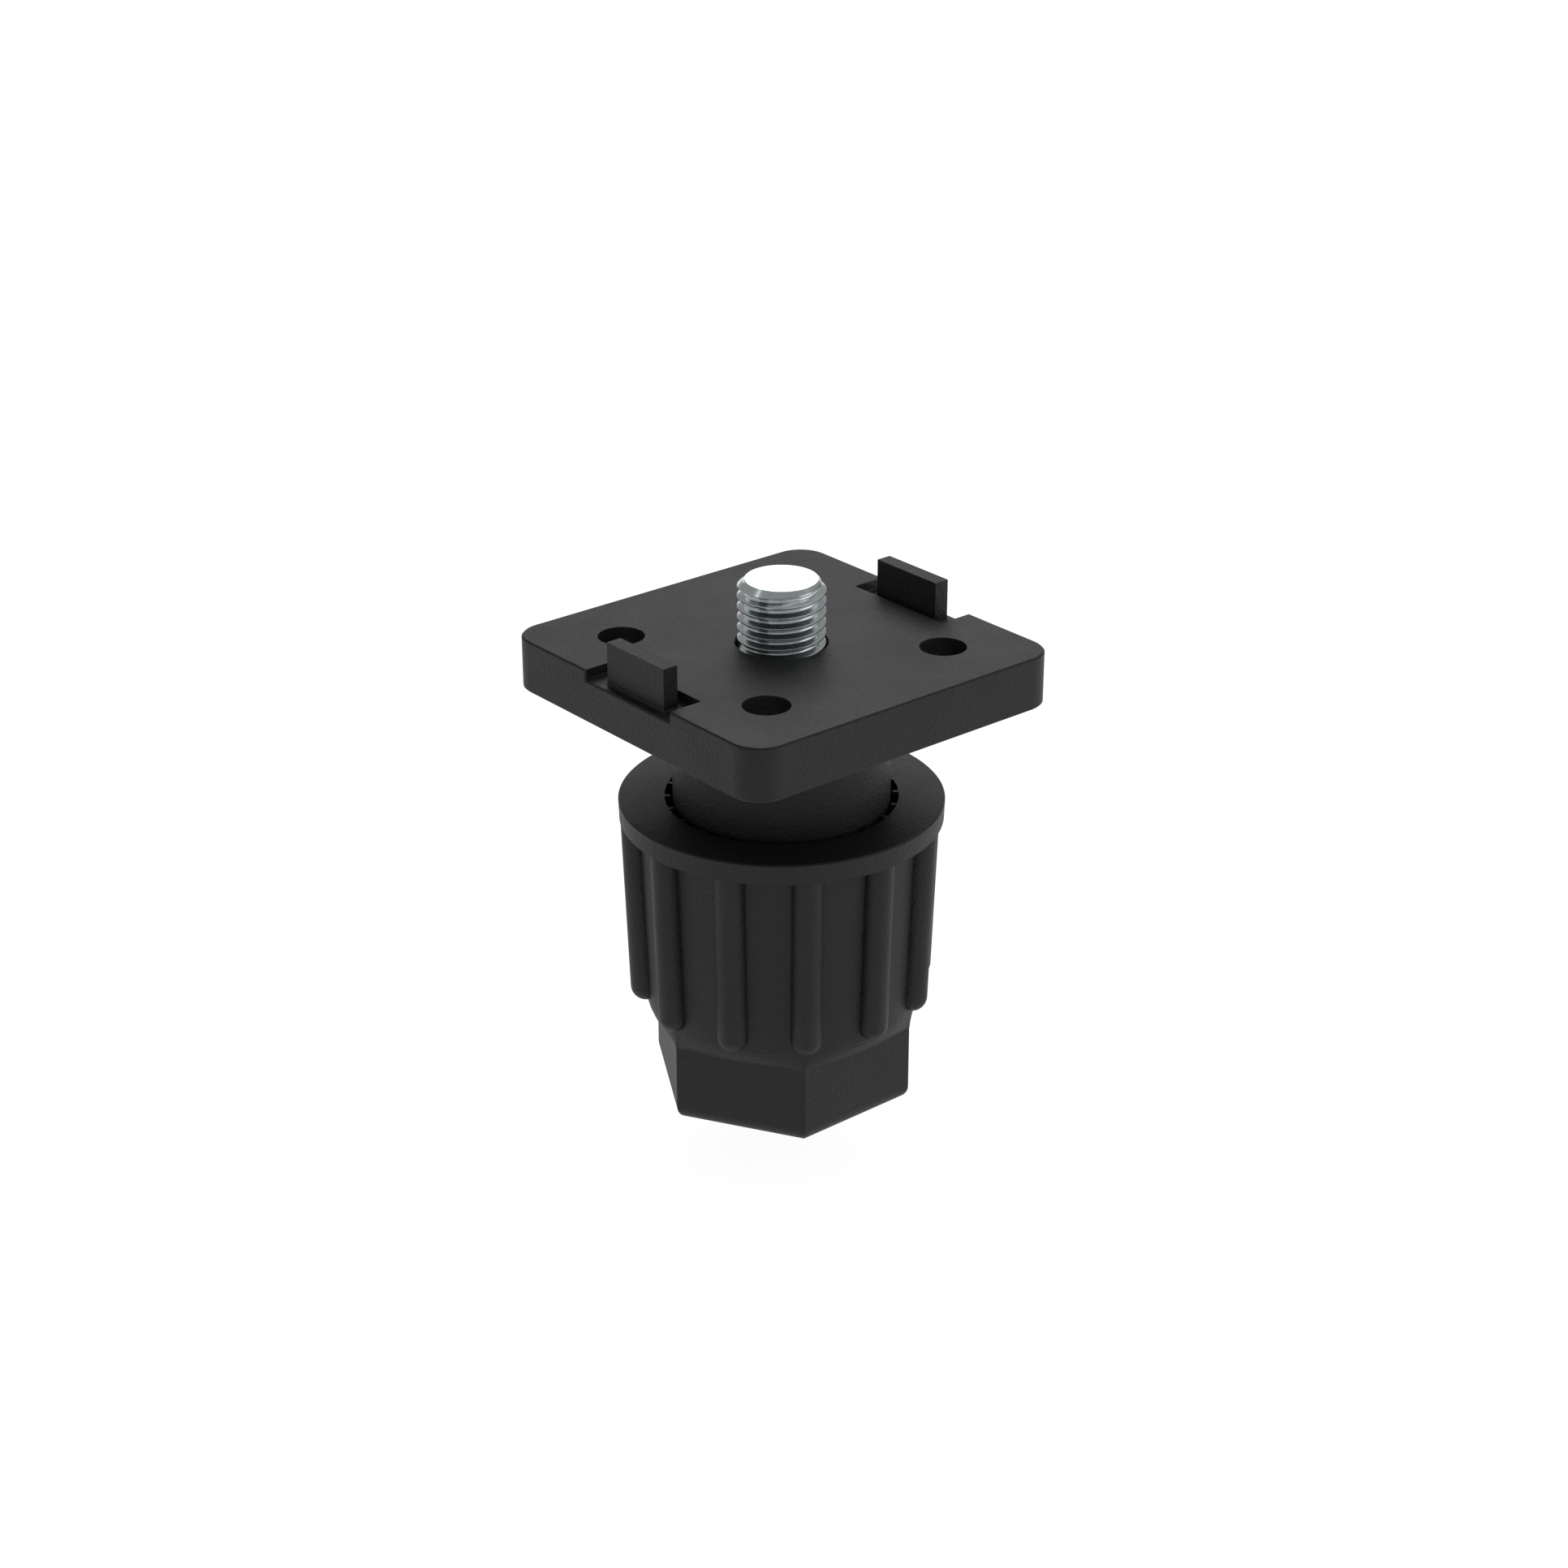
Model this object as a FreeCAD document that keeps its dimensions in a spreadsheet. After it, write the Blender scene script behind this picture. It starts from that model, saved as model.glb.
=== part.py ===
import FreeCAD, Part
import os
import Sketcher

# Adjustable cabinet leg. A moulded square plate with a tube below it screws to the underside of a
# cabinet. A threaded steel bush is moulded into the core of the tube, and a screw spindle runs
# through it. The spindle's head is moulded into a ribbed foot, so turning the foot by its hexagon
# raises or lowers the cabinet. Millimetres, +Z up, origin at the centre of the foot's underside,
# and the foot stands as far below the plate as in the photograph.

# Driving sizes, in millimetres, with angles in degrees
SIZES = {
    # plate
    "plate_side": 70.0,
    "plate_thick": 10.0,
    "plate_corner": 5.8,
    "edge_break": 0.3,
    "skin_thick": 5.0,
    "skirt_thick": 2.8,
    "web_thick": 1.8,
    "web_pitch": 15.0,
    "cell_margin": 1.2,
    "screw_hole": 8.6,
    "screw_spacing": 41.0,
    "spindle_hole": 17.0,
    # locating tabs on two edges of the plate
    "recess_deep": 2.0,
    "recess_reach": 7.0,
    "recess_wide": 24.0,
    "tab_setback": 2.0,
    "tab_thick": 3.0,
    "tab_wide": 16.0,
    "tab_high": 8.0,
    "tab_foot_round": 0.4,
    # tube and the threaded bush in its core
    "tube_outer": 40.0,
    "tube_wall": 2.5,
    "tube_length": 40.0,
    "bush_size": 24.0,
    "bush_high": 16.0,
    "bush_depth": 10.0,
    "bush_groove_deep": 1.2,
    "bush_groove_high": 4.0,
    "bush_chamfer": 0.6,
    "core_lip": 2.0,
    "core_wall": 2.5,
    "core_roof": 3.0,
    "core_web_thick": 1.6,
    "core_web_count": 6,
    "running_play": 0.05,
    # spindle, a hexagon-head screw that stands on its head
    "thread_size": 16.0,
    "thread_chamfer": 1.4,
    "spindle_length": 85.0,
    "head_flats": 24.0,
    "head_high": 10.0,
    # foot
    "rest_gap": 20.1,
    "foot_height": 60.0,
    "foot_floor": 7.2,
    "flange_size": 60.0,
    "flange_thick": 4.1,
    "flange_break": 0.25,
    "flange_reach": 3.0,
    "foot_draft": 2.0,
    "bore_size": 43.0,
    "cavity_floor": 18.7,
    "guide_rise": 1.05,
    "guide_thick": 0.75,
    "guide_count": 24,
    "grip_wide": 5.7,
    "grip_end": 19.7,
    "grip_sink": 0.03,
    "grip_count": 12,
    "bowl_high": 5.2,
    "hex_flats": 44.0,
    "hex_high": 15.6,
    "hex_round": 3.0,
}

# The plate's top face above the foot's underside
PLATE_TOP = "(spec.foot_height + spec.rest_gap + spec.plate_thick)"

# The number of levels at which the foot's bowl is drawn, from its round top to the hexagon
BOWL_LEVELS = 8
HEX_SIDES = 6

# Lengths below these count as nothing: for a number in a sketch, and for where an edge lies
NO_SIZE = 1e-9
NEAR = 1e-3

doc = FreeCAD.newDocument("adjustable_cabinet_leg")
spec = doc.addObject("Spreadsheet::Sheet", "spec")
for row, (alias, number) in enumerate(SIZES.items(), start=1):
    spec.set("A%d" % row, alias)
    spec.set("B%d" % row, str(number))
    spec.setAlias("B%d" % row, alias)
doc.recompute()


def value(expression):
    """The number that an expression of the sheet's sizes comes to."""
    return float(spec.evalExpression(expression))


def new_body(name, height="0"):
    """A body that stands with its own origin at a height above the foot's underside."""
    body = doc.addObject("PartDesign::Body", name)
    body.Label = name
    body.Placement = FreeCAD.Placement(FreeCAD.Vector(0, 0, 0), FreeCAD.Rotation())
    body.setExpression("Placement.Base.z", height)
    return body


def datum(body, role):
    """One of a body's own origin planes or axes, found by its role."""
    return next(item for item in body.Origin.OriginFeatures if item.Role == role)


def new_sketch(body, name, plane="XY_Plane", height="0", turn="0"):
    """A sketch on an origin plane, lifted along the plane's normal and turned about it."""
    sketch = body.newObject("Sketcher::SketchObject", name)
    sketch.AttachmentSupport = [(datum(body, plane), "")]
    sketch.MapMode = "FlatFace"
    sketch.AttachmentOffset = FreeCAD.Placement(
        FreeCAD.Vector(0, 0, 0), FreeCAD.Rotation(FreeCAD.Vector(0, 0, 1), value(turn))
    )
    sketch.setExpression("AttachmentOffset.Base.z", height)
    sketch.setExpression("AttachmentOffset.Rotation.Angle", turn)
    return sketch


def bind(sketch, constraint, expression):
    """Add a constraint and tie its number to an expression."""
    index = sketch.addConstraint(constraint)
    sketch.setExpression("Constraints[%d]" % index, expression)


def hold(sketch, curve, end, across, along):
    """Hold a curve's end at two distances from the sketch's origin, along its two axes."""
    for kind, axis, expression in (("DistanceX", -2, across), ("DistanceY", -1, along)):
        distance = value(expression)
        if abs(distance) < NO_SIZE:
            sketch.addConstraint(Sketcher.Constraint("PointOnObject", curve, end, axis))
        elif distance > 0:
            bind(sketch, Sketcher.Constraint(kind, -1, 1, curve, end, distance), expression)
        else:
            flipped = "-1 * (%s)" % expression
            bind(sketch, Sketcher.Constraint(kind, curve, end, -1, 1, -distance), flipped)


def point(across, along):
    """The point of a sketch at a pair of expressions."""
    return FreeCAD.Vector(value(across), value(along), 0)


def close_ring(sketch, curves):
    """Join the end of each curve to the start of the next."""
    for here, following in zip(curves, curves[1:] + curves[:1]):
        sketch.addConstraint(Sketcher.Constraint("Coincident", here, 2, following, 1))


def outline(sketch, corners):
    """A closed run of straight edges through corners given as pairs of expressions."""
    ends = corners[1:] + corners[:1]
    curves = [
        sketch.addGeometry(Part.LineSegment(point(*start), point(*end)))
        for start, end in zip(corners, ends)
    ]
    close_ring(sketch, curves)
    for curve, corner in zip(curves, corners):
        hold(sketch, curve, 1, *corner)


def rectangle(sketch, low_x, low_y, high_x, high_y):
    outline(sketch, [(low_x, low_y), (high_x, low_y), (high_x, high_y), (low_x, high_y)])


def circle(sketch, diameter, across="0", along="0"):
    radius = value(diameter) / 2
    curve = sketch.addGeometry(
        Part.Circle(point(across, along), FreeCAD.Vector(0, 0, 1), radius)
    )
    hold(sketch, curve, 3, across, along)
    bind(sketch, Sketcher.Constraint("Diameter", curve, 2 * radius), diameter)


def hexagon_corners(corner_radius):
    """The six corners of a hexagon, the first on the sketch's own x axis."""
    return [
        ("%s * cos(%d)" % (corner_radius, turn), "%s * sin(%d)" % (corner_radius, turn))
        for turn in range(0, 360, 360 // HEX_SIDES)
    ]


def hexagon(sketch, flats):
    outline(sketch, hexagon_corners("(%s) / 2 / cos(30)" % flats))


def swollen_hexagon(sketch, corner_radius, middle_radius):
    """A hexagon whose sides are arcs through their corners and their own middles."""
    corners = hexagon_corners(corner_radius)
    rise = "(%s - %s * cos(30))" % (middle_radius, corner_radius)
    bend = "((%s / 2)^2 + %s^2) / (2 * %s)" % (corner_radius, rise, rise)
    curves = []
    for number, start in enumerate(corners):
        end = corners[(number + 1) % HEX_SIDES]
        turn = (number + 0.5) * 360 / HEX_SIDES
        middle = ("%s * cos(%f)" % (middle_radius, turn), "%s * sin(%f)" % (middle_radius, turn))
        arc = Part.Arc(point(*start), point(*middle), point(*end))
        curves.append(sketch.addGeometry(arc))
    close_ring(sketch, curves)
    for curve, corner in zip(curves, corners):
        hold(sketch, curve, 1, *corner)
        bind(sketch, Sketcher.Constraint("Radius", curve, value(bend)), bend)


def pad(body, name, sketch, length, down=False):
    item = body.newObject("PartDesign::Pad", name)
    item.Profile = sketch
    item.Reversed = down
    item.setExpression("Length", length)
    doc.recompute()
    return item


def pocket(body, name, sketch, depth, up=False):
    """Cut a sketch's area out, down from its plane or up from it."""
    before = body.Shape.Volume
    item = body.newObject("PartDesign::Pocket", name)
    item.Profile = sketch
    item.Reversed = up
    item.setExpression("Length", depth)
    doc.recompute()
    if not item.Shape.Volume < before:
        raise RuntimeError(name + " cuts nothing")
    return item


def around(body, name, kind, sketch, axis):
    """Turn a sketch's area a full turn about an axis, to add it or to cut it out."""
    item = body.newObject("PartDesign::" + kind, name)
    item.Profile = sketch
    item.ReferenceAxis = (sketch, [axis])
    item.Angle = 360
    doc.recompute()
    return item


def ring_of(body, name, feature, count):
    """Repeat a feature evenly about the upright axis."""
    item = body.newObject("PartDesign::PolarPattern", name)
    item.Originals = [feature]
    item.Axis = (datum(body, "Z_Axis"), [""])
    item.Angle = 360
    item.setExpression("Occurrences", count)
    body.Tip = item
    doc.recompute()
    return item


def dress_edges(body, name, kind, size, chosen):
    """Round or break the edges of the body's last feature that a test picks out."""
    base = body.Tip
    edges = ["Edge%d" % n for n, edge in enumerate(base.Shape.Edges, start=1) if chosen(edge)]
    item = body.newObject("PartDesign::" + kind, name)
    item.Base = (base, edges)
    item.setExpression("Radius" if kind == "Fillet" else "Size", size)
    doc.recompute()
    return item


def lies_at(edge, height):
    """Whether an edge lies flat at a height in its body's own frame."""
    box = edge.BoundBox
    return abs(box.ZMin - height) < NEAR and abs(box.ZMax - height) < NEAR


def is_upright(edge):
    box = edge.BoundBox
    return box.XLength < NEAR and box.YLength < NEAR


def web_cell(sketch, low_turn, high_turn):
    """One pocket between two radial webs, from the tube's ring out to the plate's skirt."""
    inner = "(spec.tube_outer / 2 + spec.cell_margin)"
    outer = "(spec.plate_side / 2 - spec.skirt_thick)"
    half_web = "(spec.web_thick / 2)"
    reach = value(inner)
    edge = value(outer)
    offset = value(half_web)
    corners = []
    for turn, side in ((low_turn, 1), (high_turn, -1)):
        direction = FreeCAD.Rotation(FreeCAD.Vector(0, 0, 1), value(turn)).multVec(
            FreeCAD.Vector(1, 0, 0)
        )
        across = FreeCAD.Vector(-direction.y, direction.x, 0) * (side * offset)
        near = across + direction * (reach**2 - offset**2) ** 0.5
        far = across + direction * ((edge - across.x) / direction.x)
        corners.append((near, far))
    (low_near, low_far), (high_near, high_far) = corners
    inner_circle = Part.Circle(FreeCAD.Vector(0, 0, 0), FreeCAD.Vector(0, 0, 1), reach)
    arc = Part.ArcOfCircle(
        inner_circle, inner_circle.parameter(low_near), inner_circle.parameter(high_near)
    )
    ring = sketch.addGeometry(arc)
    high_side = sketch.addGeometry(Part.LineSegment(high_near, high_far))
    skirt = sketch.addGeometry(Part.LineSegment(high_far, low_far))
    low_side = sketch.addGeometry(Part.LineSegment(low_far, low_near))
    close_ring(sketch, [ring, high_side, skirt, low_side])
    sketch.addConstraint(Sketcher.Constraint("Coincident", ring, 3, -1, 1))
    bind(sketch, Sketcher.Constraint("Radius", ring, reach), inner)
    sketch.addConstraint(Sketcher.Constraint("Vertical", skirt))
    bind(sketch, Sketcher.Constraint("DistanceX", -1, 1, skirt, 1, edge), outer)
    for line, near_end, near, far, turn in (
        (low_side, 2, low_near, low_far, low_turn),
        (high_side, 1, high_near, high_far, high_turn),
    ):
        bind(sketch, Sketcher.Constraint("Distance", -1, 1, line, offset), half_web)
        slope = Sketcher.Constraint("DistanceY", -1, 1, line, near_end, near.y)
        height = "sqrt(%s^2 - %s^2) * sin(%s) + %s%s * cos(%s)" % (
            inner, half_web, turn, "" if line == low_side else "-1 * ", half_web, turn
        )
        if value(height) < 0:
            slope = Sketcher.Constraint("DistanceY", line, near_end, -1, 1, -near.y)
            height = "-1 * (%s)" % height
        bind(sketch, slope, height)


def make_top_plate():
    """The moulded plate with its two tabs, and the tube below it with the seat of the bush.

    Its own origin is at the centre of its top face.
    """
    body = new_body("top_plate", PLATE_TOP)
    half = "spec.plate_side / 2"
    under = "-spec.plate_thick"
    floor = "-spec.recess_deep"

    sketch = new_sketch(body, "plate_outline")
    rectangle(sketch, "-" + half, "-" + half, half, half)
    pad(body, "plate", sketch, "spec.plate_thick", down=True)
    dress_edges(body, "plate_corners", "Fillet", "spec.plate_corner", is_upright)

    # Two recesses, open at the plate's edge, each with a tab that stands on its floor
    sketch = new_sketch(body, "recess_outline")
    for side in ("", "-"):
        inner = "%s(%s - spec.recess_reach)" % (side, half)
        outer = "%s(%s + spec.recess_reach)" % (side, half)
        rectangle(sketch, inner, "-spec.recess_wide / 2", outer, "spec.recess_wide / 2")
    pocket(body, "recesses", sketch, "spec.recess_deep")
    sketch = new_sketch(body, "tab_outline", height=floor)
    for side in ("", "-"):
        outer = "%s(%s - spec.tab_setback)" % (side, half)
        inner = "%s(%s - spec.tab_setback - spec.tab_thick)" % (side, half)
        rectangle(sketch, inner, "-spec.tab_wide / 2", outer, "spec.tab_wide / 2")
    pad(body, "tabs", sketch, "spec.tab_high")

    edge = value(half)
    depth = value("spec.recess_deep")

    def on_recess_floor(corner):
        """Whether a tab or a recess's wall rises from the recess's floor there."""
        box = corner.BoundBox
        on_lip = box.XLength < NEAR and max(abs(box.XMin), abs(box.XMax)) > edge - NEAR
        return lies_at(corner, -depth) and not on_lip

    def on_rim(corner):
        """Whether an edge bounds the plate's own side, its upright edges apart."""
        box = corner.BoundBox
        on_x_side = min(abs(box.XMin), abs(box.XMax)) > edge - NEAR
        on_y_side = min(abs(box.YMin), abs(box.YMax)) > edge - NEAR
        at_corner = (
            max(abs(box.XMin), abs(box.XMax)) > edge - NEAR
            and max(abs(box.YMin), abs(box.YMax)) > edge - NEAR
        )
        return (on_x_side or on_y_side or at_corner) and box.ZLength < depth + NEAR

    dress_edges(body, "tab_feet", "Fillet", "spec.tab_foot_round", on_recess_floor)
    dress_edges(body, "plate_rim", "Chamfer", "spec.edge_break", on_rim)

    # Tube, hollow below the solid core that holds the bush
    core_under = "(-spec.bush_depth - spec.bush_high - spec.core_lip)"
    tube_end = "(-spec.plate_thick - spec.tube_length)"
    sketch = new_sketch(body, "tube_outline", height=under)
    circle(sketch, "spec.tube_outer")
    pad(body, "tube", sketch, "spec.tube_length", down=True)
    sketch = new_sketch(body, "tube_hollow_outline", height=tube_end)
    circle(sketch, "spec.tube_outer - 2 * spec.tube_wall")
    pocket(body, "tube_hollow", sketch, "%s - %s" % (core_under, tube_end), up=True)

    # Seat moulded round the bush, and the hole through which the spindle passes
    sketch = new_sketch(body, "bush_seat_profile", plane="XZ_Plane")
    outline(sketch, bush_profile("spec.running_play", "(-spec.bush_depth)"))
    around(body, "bush_seat", "Groove", sketch, "V_Axis")
    sketch = new_sketch(body, "spindle_hole_outline")
    circle(sketch, "spec.spindle_hole")
    pocket(body, "spindle_hole", sketch, "-1 * %s" % core_under)

    # The core is a boss round the bush, joined to the tube by webs
    boss = "(spec.bush_size / 2 + spec.core_wall)"
    inside = "(spec.tube_outer / 2 - spec.tube_wall)"
    hollow = "(-1 * %s - spec.plate_thick - spec.core_roof)" % core_under
    sketch = new_sketch(body, "core_ring_outline", height=core_under)
    circle(sketch, "2 * " + boss)
    circle(sketch, "2 * " + inside)
    pocket(body, "core_ring", sketch, hollow, up=True)
    sketch = new_sketch(body, "core_web_outline", height=core_under)
    half_web = "spec.core_web_thick / 2"
    rectangle(
        sketch,
        boss + " - spec.core_wall / 2", "-" + half_web,
        inside + " + spec.tube_wall / 2", half_web,
    )
    web = pad(body, "core_web", sketch, hollow)
    ring_of(body, "core_webs", web, "spec.core_web_count")

    # Four screw holes
    reach = "spec.screw_spacing / 2"
    sketch = new_sketch(body, "screw_hole_centres")
    for across, along in (("", ""), ("-", ""), ("-", "-"), ("", "-")):
        circle(sketch, "spec.screw_hole", across + reach, along + reach)
    pocket(body, "screw_holes", sketch, "spec.plate_thick")

    # The underside is cored out between radial webs, four pockets along each edge
    sketch = new_sketch(body, "cell_outlines", height=under)
    for low, high in ((-2, -1), (-1, 0), (0, 1), (1, 2)):
        web_cell(sketch, "(%d * spec.web_pitch)" % low, "(%d * spec.web_pitch)" % high)
    cells = pocket(body, "cells", sketch, "spec.plate_thick - spec.skin_thick", up=True)
    ring_of(body, "cells_all_round", cells, "4")
    return body


def bush_profile(play, top):
    """Half of the bush's section from the axis out, grown by a play on every side."""
    outer = "(spec.bush_size / 2 + %s)" % play
    groove = "(spec.bush_size / 2 - spec.bush_groove_deep + %s)" % play
    chamfer = "spec.bush_chamfer"
    middle = "(%s - spec.bush_high / 2)" % top
    half_groove = "(spec.bush_groove_high / 2 - %s)" % play
    high = "(%s + %s)" % (top, play)
    low = "(%s - spec.bush_high - %s)" % (top, play)
    return [
        ("0", low),
        (outer + " - " + chamfer, low),
        (outer, low + " + " + chamfer),
        (outer, middle + " - " + half_groove),
        (groove, middle + " - " + half_groove),
        (groove, middle + " + " + half_groove),
        (outer, middle + " + " + half_groove),
        (outer, high + " - " + chamfer),
        (outer + " - " + chamfer, high),
        ("0", high),
    ]


def make_threaded_bush():
    """The steel bush in the plate's core. Its own origin is at its upper face."""
    body = new_body("threaded_bush", "%s - spec.bush_depth" % PLATE_TOP)
    sketch = new_sketch(body, "bush_profile", plane="XZ_Plane")
    outline(sketch, bush_profile("0", "0"))
    around(body, "bush_turned", "Revolution", sketch, "V_Axis")
    sketch = new_sketch(body, "bush_bore_outline")
    circle(sketch, "spec.thread_size + 2 * spec.running_play")
    pocket(body, "bush_bore", sketch, "spec.bush_high")
    return body


def make_spindle():
    """The screw spindle. Its own origin is at the centre of its head's end face."""
    body = new_body("spindle", "spec.foot_floor")
    radius = "spec.thread_size / 2"
    tip = "(spec.head_high + spec.spindle_length)"
    sketch = new_sketch(body, "head_outline")
    hexagon(sketch, "spec.head_flats")
    pad(body, "head", sketch, "spec.head_high")

    # The head's corners are turned off at its end face
    washer = "(0.475 * spec.head_flats)"
    beyond = "(0.7 * spec.head_flats)"
    sketch = new_sketch(body, "head_corners_profile", plane="XZ_Plane")
    outline(sketch, [
        (washer, "0"), (beyond, "0"), (beyond, "(%s - %s) * tan(30)" % (beyond, washer)),
    ])
    around(body, "head_corners", "Groove", sketch, "V_Axis")

    sketch = new_sketch(body, "shank_profile", plane="XZ_Plane")
    outline(sketch, [
        ("0", "spec.head_high / 2"),
        (radius, "spec.head_high / 2"),
        (radius, tip + " - spec.thread_chamfer"),
        (radius + " - spec.thread_chamfer", tip),
        ("0", tip),
    ])
    around(body, "shank", "Revolution", sketch, "V_Axis")
    return body


def grip_rib(body):
    """One grip: a round-ended rod laid against the foot, leaning with its draft.

    Its crown lies on the cone of the flange's rim, a hair inside it.
    """
    radius = "(spec.grip_wide / 2)"
    lean = "spec.foot_draft"
    top = "(spec.foot_height - spec.flange_thick / 2)"
    low = "(spec.grip_end + %s)" % radius

    def middle(height):
        rim = "(spec.flange_size / 2 - (spec.foot_height - %s) * tan(%s))" % (height, lean)
        return "(%s - spec.grip_sink - %s / cos(%s))" % (rim, radius, lean)

    def off_axis(height, turn):
        """A point at the rod's radius from its middle line, turned down from straight out."""
        across = "%s + %s * cos(%s + %s)" % (middle(height), radius, turn, lean)
        return across, "%s - %s * sin(%s + %s)" % (height, radius, turn, lean)

    crown_top = off_axis(top, "0")
    crown_low = off_axis(low, "0")
    tip = off_axis(low, "90")
    axis_top = (middle(top), top)
    sketch = new_sketch(body, "grip_profile", plane="XZ_Plane")
    crown = sketch.addGeometry(Part.LineSegment(point(*crown_low), point(*crown_top)))
    lid = sketch.addGeometry(Part.LineSegment(point(*crown_top), point(*axis_top)))
    axis = sketch.addGeometry(Part.LineSegment(point(*axis_top), point(*tip)))
    end = sketch.addGeometry(Part.Arc(point(*tip), point(*off_axis(low, "45")), point(*crown_low)))
    close_ring(sketch, [crown, lid, axis, end])
    for curve, corner in ((crown, crown_low), (lid, crown_top), (axis, axis_top), (end, tip)):
        hold(sketch, curve, 1, *corner)
    bind(sketch, Sketcher.Constraint("Radius", end, value(radius)), radius)
    return around(body, "grip", "Revolution", sketch, "Edge%d" % (axis + 1))


def make_adjusting_foot():
    """The moulded foot: flange, drafted sleeve with grips, bowl, hexagon and guided bore."""
    body = new_body("adjusting_foot")
    flange_under = "(spec.foot_height - spec.flange_thick)"
    bowl_top = "(spec.hex_high + spec.bowl_high)"

    def cone_at(height, size):
        """The radius of a drafted wall at a height, from its size at the flange's top."""
        return "(%s / 2 - (spec.foot_height - %s) * tan(spec.foot_draft))" % (size, height)

    sleeve_size = "(spec.flange_size - 2 * spec.flange_reach)"

    # Sleeve and flange, turned, with the flange's two edges broken
    sketch = new_sketch(body, "sleeve_profile", plane="XZ_Plane")
    outline(sketch, [
        ("0", bowl_top),
        (cone_at(bowl_top, sleeve_size), bowl_top),
        (cone_at(flange_under, sleeve_size), flange_under),
        (cone_at(flange_under, "spec.flange_size"), flange_under),
        ("spec.flange_size / 2", "spec.foot_height"),
        ("0", "spec.foot_height"),
    ])
    around(body, "sleeve", "Revolution", sketch, "V_Axis")
    rim = value(cone_at(flange_under, "spec.flange_size"))
    dress_edges(
        body, "flange_edges", "Chamfer", "spec.flange_break",
        lambda edge: edge.BoundBox.ZLength < NEAR and edge.BoundBox.XLength > 2 * rim - NEAR,
    )

    # Bowl: each level draws in from the round sleeve towards the hexagon along an elliptic curve.
    # Straight bands join the levels, which are close enough to look smooth.
    sleeve = cone_at(bowl_top, sleeve_size)
    corner = "(spec.hex_flats / 2 / cos(30))"
    flat = "(spec.hex_flats / 2)"
    levels = []
    for level in range(BOWL_LEVELS):
        sweep = 90 * level / (BOWL_LEVELS - 1)
        height = "%s - spec.bowl_high * sin(%s)" % (bowl_top, sweep)
        sketch = new_sketch(body, "bowl_level_%d" % level, height=height)
        if level == BOWL_LEVELS - 1:
            hexagon(sketch, "spec.hex_flats")
        else:
            drawn = "(1 - cos(%s))" % sweep
            swollen_hexagon(
                sketch,
                "(%s + (%s - %s) * %s)" % (sleeve, corner, sleeve, drawn),
                "(%s + (%s - %s) * %s)" % (sleeve, flat, sleeve, drawn),
            )
        levels.append(sketch)
    bowl = body.newObject("PartDesign::AdditiveLoft", "bowl")
    bowl.Profile = levels[0]
    bowl.Sections = levels[1:]
    bowl.Ruled = True
    doc.recompute()

    # Spanner hexagon with its lower edges rounded
    sketch = new_sketch(body, "hexagon_outline")
    hexagon(sketch, "spec.hex_flats")
    pad(body, "hexagon", sketch, "spec.hex_high")
    dress_edges(body, "hexagon_foot", "Fillet", "spec.hex_round", lambda edge: lies_at(edge, 0))

    ring_of(body, "grips", grip_rib(body), "spec.grip_count")

    # Bore, and the seat moulded round the spindle's head
    sketch = new_sketch(body, "bore_outline", height="spec.foot_height")
    circle(sketch, "spec.bore_size")
    pocket(body, "bore", sketch, "spec.foot_height - spec.cavity_floor")
    sketch = new_sketch(body, "head_seat_outline", height="spec.foot_floor")
    hexagon(sketch, "spec.head_flats + 2 * spec.running_play")
    pocket(body, "head_seat", sketch, "spec.head_high + spec.running_play", up=True)
    sketch = new_sketch(body, "shank_hole_outline", height="spec.cavity_floor")
    circle(sketch, "spec.thread_size + 2 * spec.running_play")
    pocket(body, "shank_hole", sketch, "spec.cavity_floor - spec.foot_floor - spec.head_high / 2")

    # Guide ribs down the bore, on which the tube runs
    wall = "spec.bore_size / 2"
    sketch = new_sketch(
        body, "guide_outline", height="spec.foot_height", turn="180 / spec.guide_count"
    )
    rectangle(
        sketch,
        wall + " - spec.guide_rise", "-spec.guide_thick / 2",
        wall + " + spec.guide_rise", "spec.guide_thick / 2",
    )
    guide = pad(body, "guide", sketch, "spec.foot_height - spec.cavity_floor", down=True)
    ring_of(body, "guides", guide, "spec.guide_count")
    return body


parts = [make_top_plate(), make_threaded_bush(), make_spindle(), make_adjusting_foot()]
doc.recompute()

for item in doc.Objects:
    if "Invalid" in item.State or "Error" in item.State:
        raise RuntimeError(item.Name + " failed")
for part in parts:
    if part.Shape.isNull() or not part.Shape.isValid() or len(part.Shape.Solids) != 1:
        raise RuntimeError(part.Label + " isn't one sound solid")

os.makedirs("parts", exist_ok=True)
for part in parts:
    part.Shape.exportStep(os.path.join("parts", part.Label + ".step"))
    box = part.Shape.BoundBox
    print("%s: %.0f mm3, z %.2f to %.2f" % (part.Label, part.Shape.Volume, box.ZMin, box.ZMax))
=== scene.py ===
import math

import bmesh
import bpy
import numpy as np
from mathutils import Matrix, Vector


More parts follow.
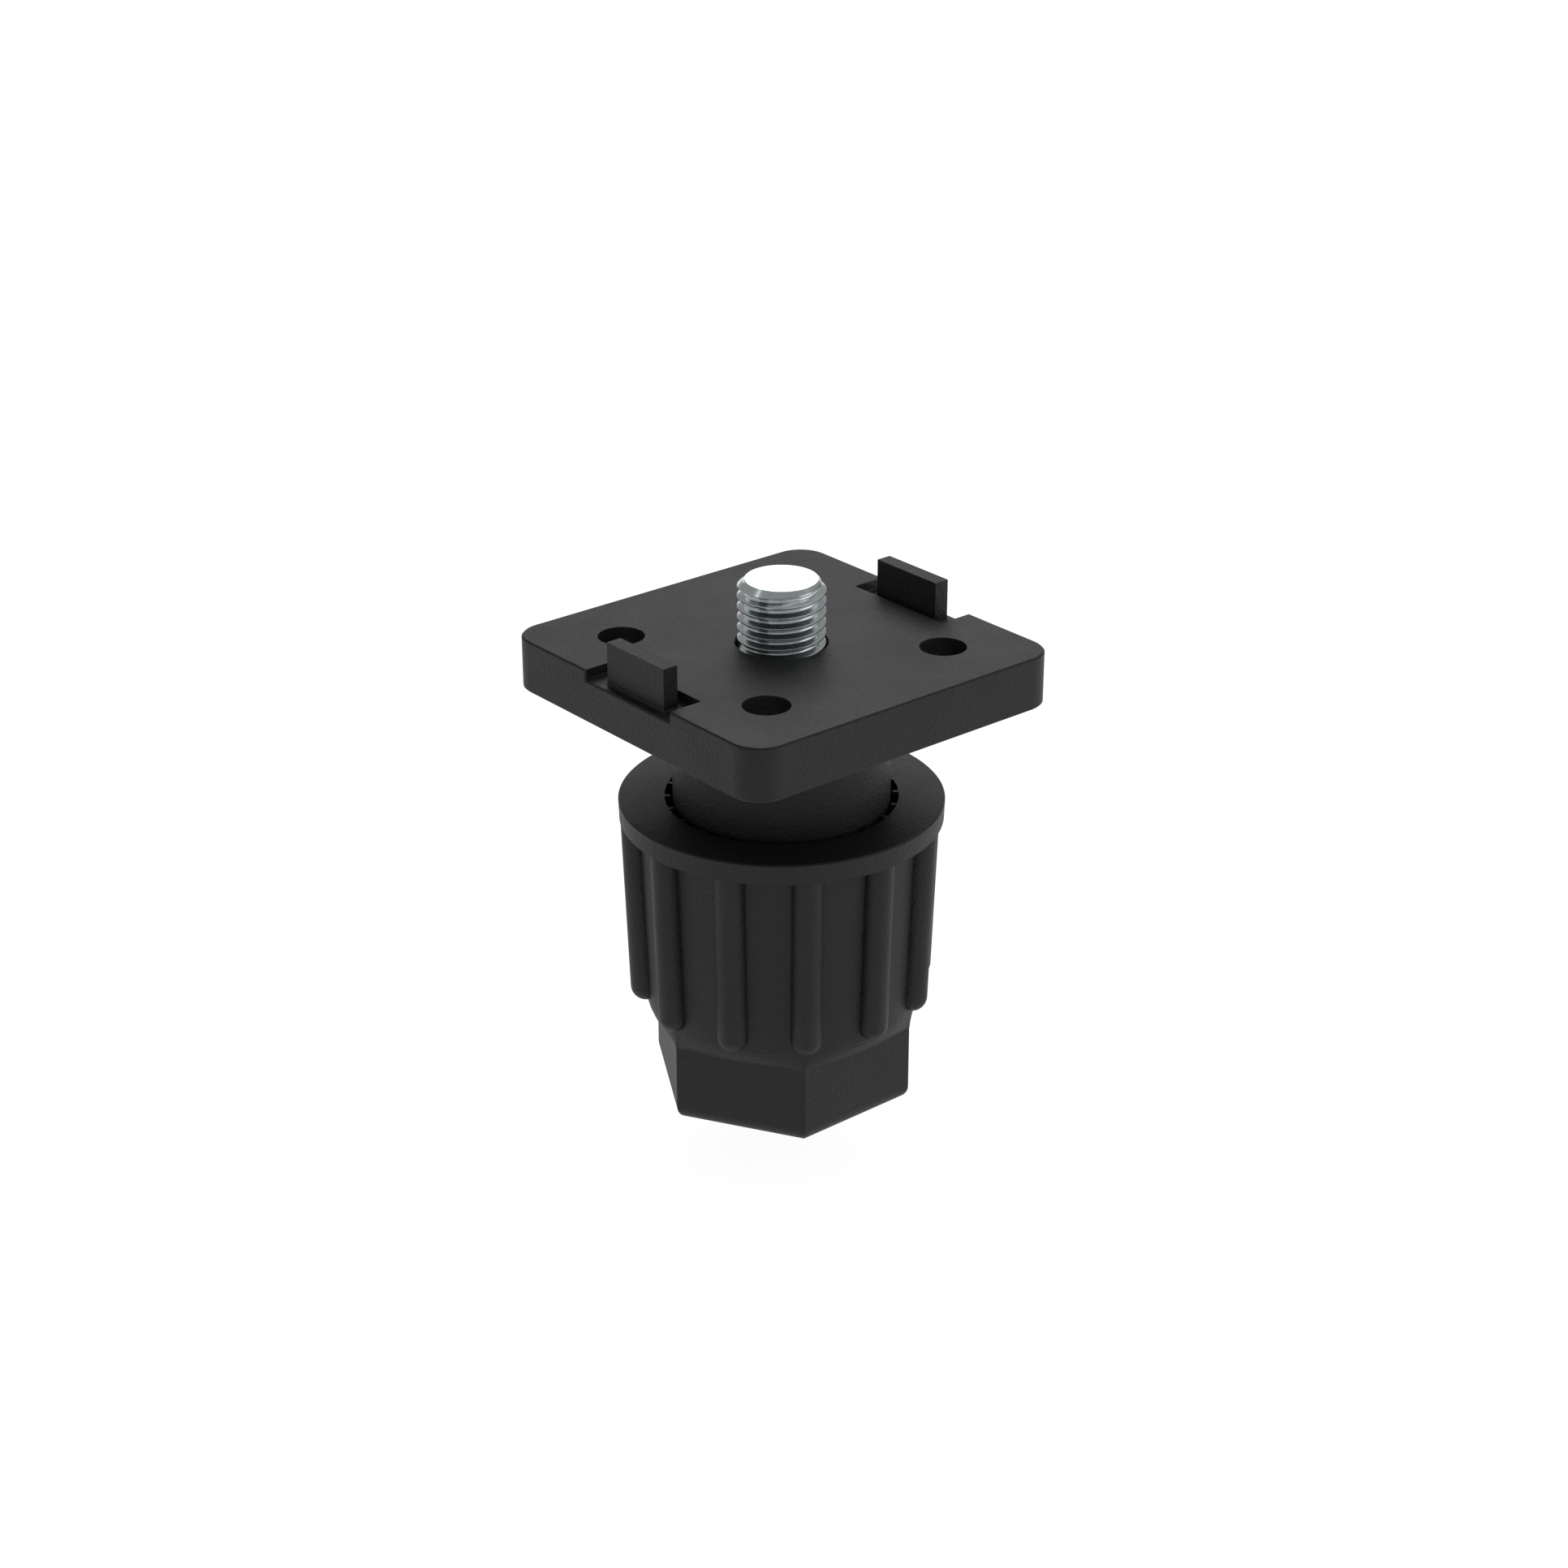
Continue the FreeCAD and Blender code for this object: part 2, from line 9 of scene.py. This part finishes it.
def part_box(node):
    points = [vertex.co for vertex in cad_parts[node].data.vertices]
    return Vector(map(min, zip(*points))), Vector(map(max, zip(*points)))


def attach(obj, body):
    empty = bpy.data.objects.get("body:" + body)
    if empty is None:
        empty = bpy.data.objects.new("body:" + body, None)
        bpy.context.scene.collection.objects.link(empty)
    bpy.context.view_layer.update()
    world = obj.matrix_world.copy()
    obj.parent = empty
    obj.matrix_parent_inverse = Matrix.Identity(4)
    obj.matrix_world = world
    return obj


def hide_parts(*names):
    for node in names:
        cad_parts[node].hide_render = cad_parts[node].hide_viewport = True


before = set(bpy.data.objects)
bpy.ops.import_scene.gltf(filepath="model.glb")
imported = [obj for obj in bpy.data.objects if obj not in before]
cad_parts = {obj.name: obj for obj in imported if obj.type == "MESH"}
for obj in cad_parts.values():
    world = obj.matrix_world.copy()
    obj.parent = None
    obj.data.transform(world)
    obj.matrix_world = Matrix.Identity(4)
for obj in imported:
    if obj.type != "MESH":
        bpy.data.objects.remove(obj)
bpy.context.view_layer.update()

# An adjustable cabinet leg: a black moulded top plate with a tube below it, a zinc-plated screw
# spindle, and a black moulded foot. Metres, +Z up, the foot's underside at z = 0 when at rest.

MM = 0.001

# Sizes of the spindle, the same as in the solids
THREAD_RADIUS = 8.0 * MM
THREAD_PITCH = 2.0 * MM
THREAD_DEPTH = 1.19 * MM
THREAD_CHAMFER = 1.4 * MM
HEAD_FLATS = 24.0 * MM
HEAD_HIGH = 10.0 * MM
HEAD_WASHER = 0.475 * HEAD_FLATS
HEAD_CHAMFER_HIGH = 1.4 * MM
HEAD_CHAMFER_SLOPE = math.radians(30)

# How far the threaded shaft reaches down into the head
SHAFT_OVERLAP = 2.0 * MM

# Points round the shaft and round the head, and the rings that draw the head's chamfer
SHAFT_POINTS = 64
HEAD_POINTS = 96
CHAMFER_RINGS = 8

# Edges that bend more than the angle stay sharp, and points nearer than the gap are one
SHARP_ANGLE = math.radians(32)
WELD_GAP = 0.001 * MM

# The plastic drifts between two tones of colour and of gloss, in slow patches under a fine grain
PLASTIC_DARK = (0.0080, 0.0081, 0.0083)
PLASTIC_LIGHT = (0.0092, 0.0093, 0.0095)
PLASTIC_ROUGH = (0.54, 0.58)
PLASTIC_SPECULAR = 0.32
GRAIN_HEIGHT = 0.12 * MM
GRAIN_SCALE = 1400.0
PATCH_SCALE = 90.0
PATCH_RANGE = (0.3, 0.7)
PIT_SHARE = 0.45

# The zinc is mottled between two tones
ZINC_DARK = (0.54, 0.59, 0.60)
ZINC_LIGHT = (0.64, 0.68, 0.69)
ZINC_ROUGH = (0.14, 0.26)
MOTTLE_HEIGHT = 0.004 * MM
MOTTLE_SCALE = 1500.0

# How far the foot screws down below its place at rest, the lower limit of its slide
FOOT_DROP = 12.0 * MM

# The floor lies clear of the foot also where the leg is at its longest
FLOOR_CLEAR = 0.5 * MM
FLOOR_REACH = 6.0
FLOOR_MATT = (0.20, 0.20, 0.20)
FLOOR_LIFT = 0.94
FLOOR_BOUNCE = (0.8, 0.8, 0.8)

# The surround glows at the horizon and has faded to the ceiling's grey at the second angle
GLOW_ANGLES = (math.radians(1), math.radians(7))
HORIZON_LIGHT = 1.0
CEILING_LIGHT = 0.33

# The lamps: name, azimuth and elevation in degrees, size in metres and power in watts
LAMP_DISTANCE = 1.2
LAMP_AIM_HIGH = 0.06
LAMPS = (
    ("lamp_right", 130.0, 24.0, 1.0, 2.8),
    ("lamp_back", 226.0, 47.0, 0.9, 4.6),
    ("card_back", 230.0, 25.0, 0.26, 0.35),
    ("lamp_left", -36.0, 48.0, 0.08, 0.16),
)

# The camera stands where the photograph was taken from: 50 degrees round from +X and 25 up
CAMERA_AZIMUTH = 50.04
CAMERA_ELEVATION = 24.97
CAMERA_DISTANCE = 0.5656
CAMERA_AIM_HIGH = 0.06184
CAMERA_ASIDE = 0.000438
LENS_MM = 70.853
SENSOR_MM = 36.0


def mesh_piece(name, points, faces):
    """A mesh object from arrays of points and faces, smooth but for its sharp edges."""
    mesh = bpy.data.meshes.new(name)
    mesh.from_pydata(points.tolist(), [], faces.tolist())
    mesh.validate()
    mesh.shade_smooth()
    mesh.set_sharp_from_angle(angle=SHARP_ANGLE)
    piece = bpy.data.objects.new(name, mesh)
    bpy.context.scene.collection.objects.link(piece)
    return piece


def thread_profile():
    """Heights over one pitch, from a crest's middle, and the depth of the surface at each.

    A 60 degree thread. The crest is flat with its edges rounded, and the flanks run into a root of
    one arc, whose radius r = w / tan(30) fits the root's half width w. With the angle t turned from
    the crest, an arc is at sin t along the axis and 1 - cos t into the depth. Two more points hold
    each flank straight between its arcs.
    """
    flank = math.radians(60)
    slope = math.tan(flank)
    crest = THREAD_PITCH / 16
    root = THREAD_PITCH / 2 - crest - THREAD_DEPTH / slope
    edge_round = 0.4 * crest
    root_round = root / math.tan(flank / 2)
    start = crest - edge_round * math.tan(flank / 2)
    turned = np.radians([0, 20, 40, 60])
    crest_along = start + edge_round * np.sin(turned)
    crest_depth = edge_round * (1 - np.cos(turned))
    turned_back = turned[::-1]
    root_along = THREAD_PITCH / 2 - root_round * np.sin(turned_back)
    root_depth = THREAD_DEPTH - root_round * (1 - np.cos(turned_back))
    inset = 0.12 * (root_along[0] - crest_along[-1])
    flank_along = np.array([crest_along[-1] + inset, root_along[0] - inset])
    along = np.concatenate([crest_along, flank_along, root_along])
    depth = np.concatenate([crest_depth, (flank_along - crest) * slope, root_depth])
    height = np.concatenate([along, THREAD_PITCH - along[-2::-1]])
    return height, np.concatenate([depth, depth[-2::-1]])


def screw_shaft(name, low, high):
    """A threaded shaft whose grid rows climb with the thread.

    Row i is one height h and depth d of the thread's profile, a pitch further on each time the
    profile repeats. Of n points round, point (i, j) lies at angle a = 2 pi j / n, at height
    z = low + h + pitch a / 2 pi and radius R - d. Both ends are cut by a 45 degree cone: the radius
    is no more than that of the cone, and rows beyond an end lie on its rim and then at its centre.
    """
    around = SHAFT_POINTS
    profile, depth = thread_profile()
    rows = len(profile)
    spare = 2
    turns = int(math.ceil((high - low) / THREAD_PITCH)) + 2 * spare
    step, spoke = np.meshgrid(np.arange(turns * rows), np.arange(around), indexing="ij")
    turn = spoke / around
    height = low + profile[step % rows] + THREAD_PITCH * (step // rows - spare + turn)
    tip = THREAD_RADIUS - THREAD_CHAMFER
    cone = tip + np.maximum(np.minimum(high - height, height - low), 0.0)
    radius = np.minimum(THREAD_RADIUS - depth[step % rows], cone)
    at_end = (step == 0) | (step >= (turns - 1) * rows - 1)
    radius = np.where(at_end, 0.0, radius)
    height = np.clip(height, low, high)
    angle = 2 * math.pi * turn
    points = np.stack([radius * np.cos(angle), radius * np.sin(angle), height], axis=-1)
    here = step[:-1] * around + spoke[:-1]
    beside = np.where(spoke[:-1] == around - 1, (step[:-1] + rows) * around, here + 1)
    keep = step[:-1] + rows + 1 < turns * rows
    quads = np.stack([here, beside, beside + around, here + around], axis=-1)[keep]
    return mesh_piece(name, points.reshape(-1, 3), quads)


def hexagon_head(name, low, high):
    """A hexagonal prism, its lower corners turned off.

    Rings of points: at angle a the flat's distance is d = flats / 2 / cos(a to the nearest flat's
    middle), and a ring at height z reaches no further than the cone of the chamfer.
    """
    around = HEAD_POINTS
    angle = np.linspace(0, 2 * math.pi, around, endpoint=False)
    from_middle = angle % (math.pi / 3) - math.pi / 6
    flat = HEAD_FLATS / 2 / np.cos(from_middle)
    reaches = [np.zeros(around)]
    heights = [low]
    for z in [*np.linspace(low, low + HEAD_CHAMFER_HIGH, CHAMFER_RINGS), high]:
        cone = HEAD_WASHER + (z - low) / math.tan(HEAD_CHAMFER_SLOPE)
        reaches.append(np.minimum(flat, cone))
        heights.append(z)
    reaches.append(np.zeros(around))
    heights.append(high)
    reach = np.array(reaches)
    height = np.repeat(heights, around).reshape(-1, around)
    points = np.stack([reach * np.cos(angle), reach * np.sin(angle), height], axis=-1)
    ring, spoke = np.meshgrid(np.arange(len(heights) - 1), np.arange(around), indexing="ij")
    here = ring * around + spoke
    beside = ring * around + (spoke + 1) % around
    quads = np.stack([here, beside, beside + around, here + around], axis=-1)
    return mesh_piece(name, points.reshape(-1, 3), quads.reshape(-1, 4))


def welded(piece):
    """The piece with the points that meet merged, and the faces that have no area left out."""
    mesh = bmesh.new()
    mesh.from_mesh(piece.data)
    bmesh.ops.remove_doubles(mesh, verts=mesh.verts, dist=WELD_GAP)
    bmesh.ops.dissolve_degenerate(mesh, edges=mesh.edges, dist=WELD_GAP)
    loose = [vertex for vertex in mesh.verts if not vertex.link_faces]
    bmesh.ops.delete(mesh, geom=loose, context="VERTS")
    bmesh.ops.recalc_face_normals(mesh, faces=mesh.faces)
    mesh.to_mesh(piece.data)
    mesh.free()
    piece.data.set_sharp_from_angle(angle=SHARP_ANGLE)
    return piece


def new_material(name, base, roughness, metallic=0.0):
    """A material with a plain surface, and the shader that makes it."""
    material = bpy.data.materials.new(name)
    material.use_nodes = True
    shader = material.node_tree.nodes["Principled BSDF"]
    shader.inputs["Base Color"].default_value = (*base, 1.0)
    shader.inputs["Roughness"].default_value = roughness
    shader.inputs["Metallic"].default_value = metallic
    return material, shader


def node(tree, kind, **settings):
    """A new node, with each setting put on the input of that name or else on the node."""
    made = tree.nodes.new(kind)
    for key, setting in settings.items():
        if key in made.inputs:
            made.inputs[key].default_value = setting
        else:
            setattr(made, key, setting)
    return made


def colour_mix(tree, first, second):
    """A node that mixes two colours."""
    mix = node(tree, "ShaderNodeMix", data_type="RGBA")
    mix.inputs["A"].default_value = (*first, 1.0)
    mix.inputs["B"].default_value = (*second, 1.0)
    return mix


def spread(tree, to, span=(0.0, 1.0)):
    """A node that spreads a span of its input over another range."""
    ranged = tree.nodes.new("ShaderNodeMapRange")
    ranged.inputs["From Min"].default_value = span[0]
    ranged.inputs["From Max"].default_value = span[1]
    ranged.inputs["To Min"].default_value = to[0]
    ranged.inputs["To Max"].default_value = to[1]
    return ranged


def grain_group():
    """The spark-eroded grain of a moulding: a height, and a slow patchiness of its gloss."""
    tree = bpy.data.node_groups.new("moulding_grain", "ShaderNodeTree")
    face = tree.interface
    face.new_socket("Grain Scale", in_out="INPUT", socket_type="NodeSocketFloat")
    face.new_socket("Patch Scale", in_out="INPUT", socket_type="NodeSocketFloat")
    face.new_socket("Height", in_out="OUTPUT", socket_type="NodeSocketFloat")
    face.new_socket("Patches", in_out="OUTPUT", socket_type="NodeSocketFloat")
    entry = tree.nodes.new("NodeGroupInput")
    leave = tree.nodes.new("NodeGroupOutput")
    place = tree.nodes.new("ShaderNodeTexCoord")
    fine = node(tree, "ShaderNodeTexNoise", Detail=3.0, Roughness=0.65)
    pits = node(tree, "ShaderNodeTexVoronoi")
    slow = node(tree, "ShaderNodeTexNoise", Detail=2.0, Roughness=0.5)
    blend = node(tree, "ShaderNodeMath", operation="MULTIPLY_ADD")
    blend.inputs[1].default_value = PIT_SHARE
    for texture, scale in ((fine, "Grain Scale"), (pits, "Grain Scale"), (slow, "Patch Scale")):
        tree.links.new(place.outputs["Object"], texture.inputs["Vector"])
        tree.links.new(entry.outputs[scale], texture.inputs["Scale"])
    tree.links.new(pits.outputs["Distance"], blend.inputs[0])
    tree.links.new(fine.outputs["Fac"], blend.inputs[2])
    tree.links.new(blend.outputs["Value"], leave.inputs["Height"])
    tree.links.new(slow.outputs["Fac"], leave.inputs["Patches"])
    return tree


def black_plastic(name, grain):
    """Black moulded plastic, matt, with a fine eroded grain."""
    material, shader = new_material(name, PLASTIC_DARK, PLASTIC_ROUGH[0])
    tree = material.node_tree
    group = tree.nodes.new("ShaderNodeGroup")
    group.node_tree = grain
    group.inputs["Grain Scale"].default_value = GRAIN_SCALE
    group.inputs["Patch Scale"].default_value = PATCH_SCALE
    bump = node(tree, "ShaderNodeBump", Strength=1.0, Distance=GRAIN_HEIGHT)
    colour = colour_mix(tree, PLASTIC_DARK, PLASTIC_LIGHT)
    rough = spread(tree, PLASTIC_ROUGH, PATCH_RANGE)
    links = tree.links
    links.new(group.outputs["Height"], bump.inputs["Height"])
    links.new(group.outputs["Patches"], colour.inputs["Factor"])
    links.new(group.outputs["Patches"], rough.inputs["Value"])
    links.new(colour.outputs["Result"], shader.inputs["Base Color"])
    links.new(rough.outputs["Result"], shader.inputs["Roughness"])
    links.new(bump.outputs["Normal"], shader.inputs["Normal"])
    shader.inputs["Specular IOR Level"].default_value = PLASTIC_SPECULAR
    return material


def zinc_plate(name):
    """Bright zinc on steel: bluish metal with a fine mottle in its tint, gloss and surface."""
    material, shader = new_material(name, ZINC_LIGHT, ZINC_ROUGH[0], 1.0)
    tree = material.node_tree
    place = tree.nodes.new("ShaderNodeTexCoord")
    mottle = node(tree, "ShaderNodeTexNoise", Scale=MOTTLE_SCALE, Detail=3.0)
    tint = colour_mix(tree, ZINC_DARK, ZINC_LIGHT)
    rough = spread(tree, ZINC_ROUGH)
    bump = node(tree, "ShaderNodeBump", Strength=0.3, Distance=MOTTLE_HEIGHT)
    links = tree.links
    links.new(place.outputs["Object"], mottle.inputs["Vector"])
    links.new(mottle.outputs["Fac"], tint.inputs["Factor"])
    links.new(mottle.outputs["Fac"], rough.inputs["Value"])
    links.new(mottle.outputs["Fac"], bump.inputs["Height"])
    links.new(tint.outputs["Result"], shader.inputs["Base Color"])
    links.new(rough.outputs["Result"], shader.inputs["Roughness"])
    links.new(bump.outputs["Normal"], shader.inputs["Normal"])
    return material


def give(piece, material):
    """Make a material the only one of a piece."""
    piece.data.materials.clear()
    piece.data.materials.append(material)


grain = grain_group()
plate_black = black_plastic("plate_plastic", grain)
foot_black = black_plastic("foot_plastic", grain)
zinc = zinc_plate("zinc_plating")

give(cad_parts["top_plate"], plate_black)
give(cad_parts["adjusting_foot"], foot_black)
give(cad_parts["threaded_bush"], zinc)

# The spindle, with its thread, in place of the plain solid
low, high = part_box("spindle")
head_top = low.z + HEAD_HIGH
shaft = welded(screw_shaft("spindle_thread", head_top - SHAFT_OVERLAP, high.z))
give(shaft, zinc)
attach(shaft, "foot")
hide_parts("spindle")

head = welded(hexagon_head("spindle_head", low.z, head_top))
give(head, zinc)
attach(head, "foot")

# Floor, light and camera
scene = bpy.context.scene


def floor_material():
    """White with a faint shadow to the camera and in reflections, and plain matt to other light."""
    material = bpy.data.materials.new("floor_white")
    material.use_nodes = True
    tree = material.node_tree
    tree.nodes.clear()
    out = tree.nodes.new("ShaderNodeOutputMaterial")
    matt = node(tree, "ShaderNodeBsdfDiffuse", Color=(*FLOOR_MATT, 1.0))
    lift = node(tree, "ShaderNodeEmission", Strength=FLOOR_LIFT)
    white = tree.nodes.new("ShaderNodeAddShader")
    bounce = node(tree, "ShaderNodeBsdfDiffuse", Color=(*FLOOR_BOUNCE, 1.0))
    path = tree.nodes.new("ShaderNodeLightPath")
    direct = node(tree, "ShaderNodeMath", operation="MAXIMUM")
    seen = node(tree, "ShaderNodeMath", operation="MAXIMUM")
    mix = tree.nodes.new("ShaderNodeMixShader")
    links = tree.links
    links.new(matt.outputs["BSDF"], white.inputs[0])
    links.new(lift.outputs["Emission"], white.inputs[1])
    links.new(path.outputs["Is Camera Ray"], direct.inputs[0])
    links.new(path.outputs["Is Glossy Ray"], direct.inputs[1])
    links.new(direct.outputs["Value"], seen.inputs[0])
    links.new(path.outputs["Is Transmission Ray"], seen.inputs[1])
    links.new(seen.outputs["Value"], mix.inputs["Fac"])
    links.new(bounce.outputs["BSDF"], mix.inputs[1])
    links.new(white.outputs["Shader"], mix.inputs[2])
    links.new(mix.outputs["Shader"], out.inputs["Surface"])
    return material


def lay_floor(reach, height):
    """A square floor at a height, which reaches equally far to each side of the leg."""
    mesh = bpy.data.meshes.new("floor")
    corners = [(-reach, -reach), (reach, -reach), (reach, reach), (-reach, reach)]
    mesh.from_pydata([(x, y, height) for x, y in corners], [], [(0, 1, 2, 3)])
    floor = bpy.data.objects.new("floor", mesh)
    scene.collection.objects.link(floor)
    give(floor, floor_material())


def light_world():
    """A surround that is white at the horizon and dims towards a grey ceiling."""
    world = bpy.data.worlds.new("studio")
    scene.world = world
    world.use_nodes = True
    tree = world.node_tree
    surround = tree.nodes["Background"]
    surround.inputs["Color"].default_value = (1.0, 1.0, 1.0, 1.0)
    place = tree.nodes.new("ShaderNodeTexCoord")
    part = tree.nodes.new("ShaderNodeSeparateXYZ")
    fall = spread(tree, (HORIZON_LIGHT, CEILING_LIGHT), [math.sin(a) for a in GLOW_ANGLES])
    fall.interpolation_type = "SMOOTHSTEP"
    links = tree.links
    links.new(place.outputs["Generated"], part.inputs["Vector"])
    links.new(part.outputs["Z"], fall.inputs["Value"])
    links.new(fall.outputs["Result"], surround.inputs["Strength"])


def outward(azimuth, elevation):
    """The direction from the leg to an azimuth and elevation, in degrees."""
    a, e = math.radians(azimuth), math.radians(elevation)
    return Vector((math.cos(a) * math.cos(e), math.sin(a) * math.cos(e), math.sin(e)))


def soft_lamp(name, azimuth, elevation, size, power):
    """An area lamp that faces the leg from an azimuth and elevation, in degrees."""
    back = outward(azimuth, elevation)
    lamp = bpy.data.lights.new(name, "AREA")
    lamp.shape = "DISK"
    lamp.size = size
    lamp.energy = power
    holder = bpy.data.objects.new(name, lamp)
    holder.location = Vector((0, 0, LAMP_AIM_HIGH)) + back * LAMP_DISTANCE
    holder.rotation_mode = "QUATERNION"
    holder.rotation_quaternion = (-back).to_track_quat("-Z", "Y")
    scene.collection.objects.link(holder)


def place_camera():
    """The scene's camera, upright, looking at the leg."""
    back = outward(CAMERA_AZIMUTH, CAMERA_ELEVATION)
    azimuth = math.radians(CAMERA_AZIMUTH)
    right = Vector((-math.sin(azimuth), math.cos(azimuth), 0))
    up = back.cross(right)
    place = right * CAMERA_ASIDE + Vector((0, 0, CAMERA_AIM_HIGH)) + back * CAMERA_DISTANCE
    camera = bpy.data.objects.new("camera", bpy.data.cameras.new("camera"))
    camera.data.sensor_width = SENSOR_MM
    camera.data.lens = LENS_MM
    camera.data.clip_start = 0.01
    camera.data.clip_end = 50.0
    camera.matrix_world = Matrix((
        (right.x, up.x, back.x, place.x),
        (right.y, up.y, back.y, place.y),
        (right.z, up.z, back.z, place.z),
        (0, 0, 0, 1),
    ))
    scene.collection.objects.link(camera)
    scene.camera = camera


lay_floor(FLOOR_REACH, -FOOT_DROP - FLOOR_CLEAR)
light_world()
for lamp in LAMPS:
    soft_lamp(*lamp)
place_camera()
scene.view_settings.view_transform = "Standard"
